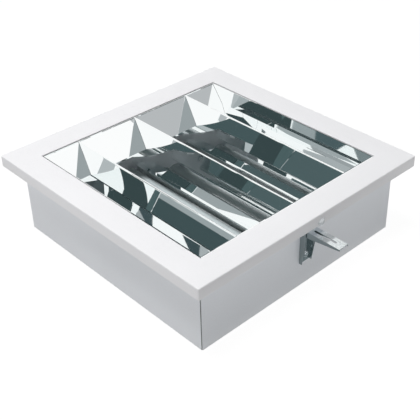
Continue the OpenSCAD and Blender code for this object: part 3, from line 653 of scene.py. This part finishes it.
OPEN, OUT, FACE, HEM, LIP, RETURN, SHEET = 0.160, 0.200, 0.119, 0.0025, 0.102, 0.006, 0.001
TRIM_CORNER, LEAST_CORNER, TRIM_BENDS, TRIM_SHARP = 0.002, 0.00001, (0.0011, 0.0014, 0.0012), 35
face_path = bent([(OPEN, FACE - HEM), (OPEN, FACE), (OUT, FACE), (OUT, LIP), (OUT - RETURN, LIP)],
                 TRIM_BENDS)
back_path = moved_aside(face_path, -SHEET)
profile = np.vstack([face_path, back_path[::-1]])
rings = []
for reach, height in profile:
    ring = round_square(reach, max(TRIM_CORNER - (OUT - reach), LEAST_CORNER))
    rings.append(np.column_stack([ring, np.full(len(ring), height)]))
trim_faces = grid(len(rings), len(rings[0]), close_rows=True, close_columns=True)
trim = joined("trim_frame", mesh_of("trim_frame", np.vstack(rings), trim_faces),
              sharp=TRIM_SHARP)
print("trim profile points:", len(profile), "faces:", len(trim.data.polygons))

# %% [markdown]
# ## The blades
# A blade is folded from one strip of mirror sheet: two hollow faces rise from a small return at the
# open base and meet in a tight round bend at the top, which shows as a thin bright line. The faces
# must be perfectly even, because any kink would break the mirror picture, so each is drawn by its
# formula with many points: the half width grows with a straight share and a squared share of the
# depth below the top. Small tabs at both ends pass through the end reflectors and hold the blade.


# %% The blades
TOP, BASE, TOP_HALF, SHEET_MIRROR = 0.1175, 0.044, 0.0008, 0.0008
BLADE_HALF, TOP_LEAN, RETURN_WIDTH, BLADE_STEP = 0.0125, 0.1, 0.004, 0.1
BELOW_TOP, ABOVE_BASE, FOOT_BEND, LEAST_HALF = 0.0004, 0.0012, 0.0009, 0.00003
BEND_POINTS, FACE_POINTS = 9, 60
BLADE_END, TAB_END, TAB_START, TAB_HEIGHTS = 0.1576, 0.1594, 0.15758, np.array([0.069875, 0.081875])


def blade_half(height):
    """Half width of a blade: the top's half, a straight share and a squared share of the depth."""
    depth = TOP - height
    full = TOP - BASE
    flare = BLADE_HALF - TOP_HALF - TOP_LEAN * full
    return TOP_HALF + TOP_LEAN * depth + flare * (depth / full) ** 2


def swept_along_x(outline, ends):
    """The points of an outline of (y, z) pairs at each of the given places along x."""
    return np.vstack([np.column_stack([np.full(len(outline), x), outline]) for x in ends])


over_top = np.linspace(0, math.pi / 2, BEND_POINTS)
top_bend = np.stack([TOP_HALF * np.sin(over_top),
                     TOP - TOP_HALF + TOP_HALF * np.cos(over_top)], axis=1)
down = np.linspace(TOP - TOP_HALF - BELOW_TOP, BASE + ABOVE_BASE, FACE_POINTS)
face = np.stack([blade_half(down), down], axis=1)
foot = bent([(blade_half(BASE + ABOVE_BASE), BASE + ABOVE_BASE), (BLADE_HALF, BASE),
             (BLADE_HALF - RETURN_WIDTH, BASE)], (FOOT_BEND,))[1:]
outer = np.vstack([top_bend, face, foot])
inner = moved_aside(outer, -SHEET_MIRROR)
inner[:, 0] = np.maximum(inner[:, 0], LEAST_HALF)
inner[0, 0] = 0.0
outline = np.vstack([outer[::-1] * (-1, 1), outer[1:], inner[::-1], inner[1:] * (-1, 1)])
around = len(outline)
first_half = np.arange(around // 2 - 1)
cap = np.stack([first_half, first_half + 1, around - 2 - first_half, around - 1 - first_half],
               axis=1)


def blade_mesh(name, place):
    """One blade at its place along y, with the four end tabs that pass through the end webs."""
    points = [swept_along_x(outline + (place, 0), (-BLADE_END, BLADE_END))]
    faces = [*grid(2, around, close_columns=True), *cap, *(cap + around)]
    low, high = TAB_HEIGHTS
    for end in (-1, 1):
        for side in (-1, 1):
            low_half, high_half = blade_half(TAB_HEIGHTS)
            tab = np.array([(side * low_half, low), (side * high_half, high),
                            (side * (high_half - SHEET_MIRROR), high),
                            (side * (low_half - SHEET_MIRROR), low)]) + (place, 0)
            first = sum(map(len, points))
            points.append(swept_along_x(tab, (end * TAB_START, end * TAB_END)))
            faces += [*(grid(2, 4, close_columns=True) + first), first + np.arange(4),
                      first + 4 + np.arange(4)]
    return mesh_of(name, np.vstack(points), faces)


blades = [joined(f"blade_{row}", blade_mesh(f"blade_{row}", place))
          for row, place in zip(ROWS, (-BLADE_STEP, 0.0, BLADE_STEP))]
print("blades:", [len(b.data.polygons) for b in blades])

# %% [markdown]
# ## Turned pieces: screws, rivets and pins
# Screws and rivets are pressed or turned, so each is a profile turned round its own axis. A pan
# head has a cross recess, made by sinking the middle of the head where a point lies within either
# arm of the cross. The recess has sloping walls, as the punch that makes it is tapered. The rivet's
# head is a low dome with a small dimple, where its mandrel broke off. A clamp's pin has a flat head
# with a rounded edge at either end.


# %% Turned pieces: screws, rivets and pins
AROUND = 96


def turned(radii, heights, sink=None):
    """A profile turned round Z, rings first; sink(x, y) is taken from each point's height."""
    angle = np.arange(AROUND) * 2 * math.pi / AROUND
    r, z = np.asarray(radii, float)[:, None], np.asarray(heights, float)[:, None]
    x, y = r * np.cos(angle), r * np.sin(angle)
    z = np.broadcast_to(z, x.shape) - (sink(x, y) if sink else 0.0)
    return np.stack([x, y, z], axis=-1).reshape(-1, 3), grid(len(radii), AROUND,
                                                            close_columns=True)


# A cross recess as shares of the head: an arm's length and half width, and the depth. Then come
# how steep its walls and its arms' ends are, and how the depth falls from the middle outwards.
CROSS_REACH, CROSS_HALF, CROSS_DEPTH = 0.55, 0.11, 0.55
CROSS_WALL, CROSS_END, CROSS_MIDDLE, CROSS_FALL = 0.4, 0.7, 1.15, 0.55


def cross_recess(reach, half_width, depth):
    """Depth of a tapered cross at a point: full inside either arm, falling off at its walls."""
    def sink(x, y):
        arms = []
        for along, across in ((x, y), (y, x)):
            inside = np.minimum(half_width - abs(across), (reach - abs(along)) * CROSS_END)
            arms.append(np.clip(0.5 + inside / (CROSS_WALL * half_width), 0, 1))
        taper = np.clip(CROSS_MIDDLE - np.hypot(x, y) / reach * CROSS_FALL, 0, 1)
        return depth * np.maximum(*arms) * taper
    return sink


CROWN_RINGS, CROWN_FALL, RIM_ROUND, RIM_RINGS = 30, 0.22, 0.35, 7


def head_profile(radius, height):
    """Radii and heights of a low domed head: a crown over a rounded rim with upright sides."""
    edge = RIM_ROUND * height
    across = np.linspace(0, 1, CROWN_RINGS) * (radius - edge)
    dome = height - CROWN_FALL * height * (across / radius) ** 2
    bend = np.linspace(0, math.pi / 2, RIM_RINGS)[1:]
    rim_r = radius - edge + edge * np.sin(bend)
    rim_z = dome[-1] - edge + edge * np.cos(bend)
    return np.concatenate([across, rim_r, [radius, 0]]), np.concatenate([dome, rim_z, [0, 0]])


def stood(points, place, axis):
    """Points built along Z, turned so that Z becomes the axis, and moved to the place."""
    turn = Vector((0, 0, 1)).rotation_difference(Vector(axis)).to_matrix()
    return points @ np.array(turn).T + np.asarray(place, float)


HEAD_R, SHANK_R, POINT_SHARE, TIP_SHARE = 0.0038, 0.002, 0.3, 0.6


def screw_mesh(name, spots, height, length, axis, turn):
    """Pan-head screws whose heads sit at the spots and whose shanks run back by the length."""
    across, along = head_profile(HEAD_R, height)
    across = np.concatenate([across, [SHANK_R, SHANK_R, TIP_SHARE * SHANK_R, 0]])
    along = np.concatenate([along, [0, POINT_SHARE * SHANK_R - length, -length, -length]])
    c, s = math.cos(turn), math.sin(turn)
    cross = cross_recess(CROSS_REACH * HEAD_R, CROSS_HALF * HEAD_R, CROSS_DEPTH * height)
    points, faces = turned(across, along, lambda x, y: np.where(
        (np.arange(len(across)) < CROWN_RINGS)[:, None], cross(c * x + s * y, c * y - s * x), 0))
    all_points = [stood(points, spot, axis) for spot in spots]
    all_faces = [faces + k * len(points) for k in range(len(spots))]
    return mesh_of(name, np.vstack(all_points), np.vstack(all_faces))


# Each row of screws: where the heads sit, a head's height, the shank's length, the way that the
# heads look, and how far their crosses are turned.
SCREW_SHARP = 45
screws = {
    "slot_screw_right": ([(0.1814, 0, 0.0497)], 0.0024, 0.0099, (1, 0, 0), 0.5),
    "slot_screw_left": ([(-0.1814, 0, 0.0497)], 0.0024, 0.0099, (-1, 0, 0), 0.5),
    "reflector_screws": ([(x, y, 0.0018) for x in (-0.12, 0.12) for y in (-0.1, 0.1)],
                         0.0022, 0.0008, (0, 0, 1), 0.2),
    "ballast_screws": ([(x, 0.05, 0.002) for x in (-0.1271, 0.1309)], 0.0022, 0.001, (0, 0, 1),
                       0.9),
}
turned_pieces = [joined(name, screw_mesh(name, *row), sharp=SCREW_SHARP)
                 for name, row in screws.items()]

# The rivet: its head and shank, its rim's height, its dimple, and the blind end behind the sheet.
RIVET_R, RIVET_DOME, RIVET_SHANK, RIVET_RIM, RIVET_CHAMFER = 0.0053, 0.0034, 0.0024, 0.0003, 0.0001
DIMPLE_R, DIMPLE_DEPTH, DIMPLE_EDGE = 0.0008, 0.0006, 1.5
BLIND_R, BLIND_START, BLIND_END, DOME_RINGS = 1.4 * RIVET_SHANK, -0.001, -0.0039, 40
RIVET_PLACE, RIVET_SHARP = (0.2, 0.005, 0.107), 40
ball = (RIVET_R ** 2 + RIVET_DOME ** 2) / (2 * RIVET_DOME)
across = np.linspace(0, RIVET_R - RIVET_RIM, DOME_RINGS)
dome = np.sqrt(ball ** 2 - across ** 2) - ball + RIVET_DOME
dimple = DIMPLE_DEPTH * np.clip(DIMPLE_EDGE - across / DIMPLE_R, 0, 1)
across = np.concatenate([across, [RIVET_R, RIVET_R - RIVET_CHAMFER, RIVET_SHANK, RIVET_SHANK,
                                  BLIND_R, BLIND_R, 0]])
along = np.concatenate([dome - dimple, [RIVET_RIM, 0, 0, BLIND_START, BLIND_START, BLIND_END,
                                        BLIND_END]])
points, faces = turned(across, along)
for side, sign in zip(SIDES, (1, -1)):
    name = f"lip_rivet_{side}"
    x, y, z = RIVET_PLACE
    turned_pieces.append(joined(name, mesh_of(name, stood(
        points, (sign * x, sign * y, z), (sign, 0, 0)), faces), sharp=RIVET_SHARP))

# The pin of a clamp: its shank, its riveted heads' radius, reach and rounding, and its place.
PIN_R, PIN_HEAD, PIN_HALF, PIN_END, PIN_X, PIN_Z = 0.0015, 0.0024, 0.0097, 0.0105, 0.1851, 0.0876
PIN_ROUND = ((0.0006, 0), (0.0002, 0.0002), (0, 0.0005))
across = np.array([0, *(PIN_HEAD - r for r, _ in PIN_ROUND), PIN_HEAD, PIN_R])
along = np.array([PIN_END, *(PIN_END - h for _, h in PIN_ROUND), PIN_HALF, PIN_HALF])
points, faces = turned(np.concatenate([across, across[::-1]]),
                       np.concatenate([along, -along[::-1]]))
for side, sign in zip(SIDES, (1, -1)):
    name = f"bracket_pin_{side}"
    turned_pieces.append(joined(name, mesh_of(name, stood(
        points, (sign * PIN_X, 0, PIN_Z), (0, 1, 0)), faces), sharp=RIVET_SHARP))
print("turned pieces:", len(turned_pieces))

# %% [markdown]
# ## The lamps
# Each lamp is a pair of glass tubes, coated inside, with domed ends and a short hollow bridge where
# the melted glass of both was joined. The tubes are profiles turned round their own axes. The
# bridge is waisted: its radius is smallest halfway and flares where it runs into the tubes, as
# drawn glass does.


# %% The lamps
TUBE_R, TUBE_APART, LAMP_Z, TUBE_TIP, TUBE_CAP = 0.00875, 0.0205, 0.022, -0.1708, 0.1182
TIP_RINGS, TUBE_RINGS, BRIDGE_RINGS, LAMP_SHARP = 17, 24, 25, 50
BRIDGE_X, BRIDGE_R, BRIDGE_HALF, BRIDGE_WAIST = -0.15005, 0.004375, 0.0045, 0.82


def lamp_mesh(name, place):
    """Two round-ended tubes along X and the waisted bridge between them."""
    bend = np.linspace(0, math.pi / 2, TIP_RINGS)
    length = TUBE_CAP - TUBE_TIP
    radii = np.concatenate([TUBE_R * np.sin(bend), np.full(TUBE_RINGS, TUBE_R), [0]])
    run = np.concatenate([TUBE_R * (1 - np.cos(bend)),
                          np.linspace(TUBE_R, length, TUBE_RINGS + 1)[1:], [length]])
    tube, faces = turned(radii, run)
    parts = [stood(tube, (TUBE_TIP, place + s * TUBE_APART / 2, LAMP_Z), (1, 0, 0))
             for s in (-1, 1)]
    reach = np.linspace(-1, 1, BRIDGE_RINGS)
    waist, waist_faces = turned(BRIDGE_R * (BRIDGE_WAIST + (1 - BRIDGE_WAIST) * reach ** 2),
                                BRIDGE_HALF * reach)
    parts.append(stood(waist, (BRIDGE_X, place, LAMP_Z), (0, 1, 0)))
    first = np.cumsum([0] + [len(p) for p in parts[:-1]])
    return mesh_of(name, np.vstack(parts), np.vstack([faces, faces + first[1],
                                                      waist_faces + first[2]]))


lamps = [joined(f"lamp_{row}", lamp_mesh(f"lamp_{row}", place), sharp=LAMP_SHARP)
         for row, place in zip(ROWS, (-BLADE_STEP, 0.0, BLADE_STEP))]
print("lamps:", [len(o.data.polygons) for o in lamps])

# %% [markdown]
# ## The view transform
# The scene shows its colours through the Standard view transform.

# %% The view transform, and the end
bpy.context.scene.view_settings.view_transform = "Standard"
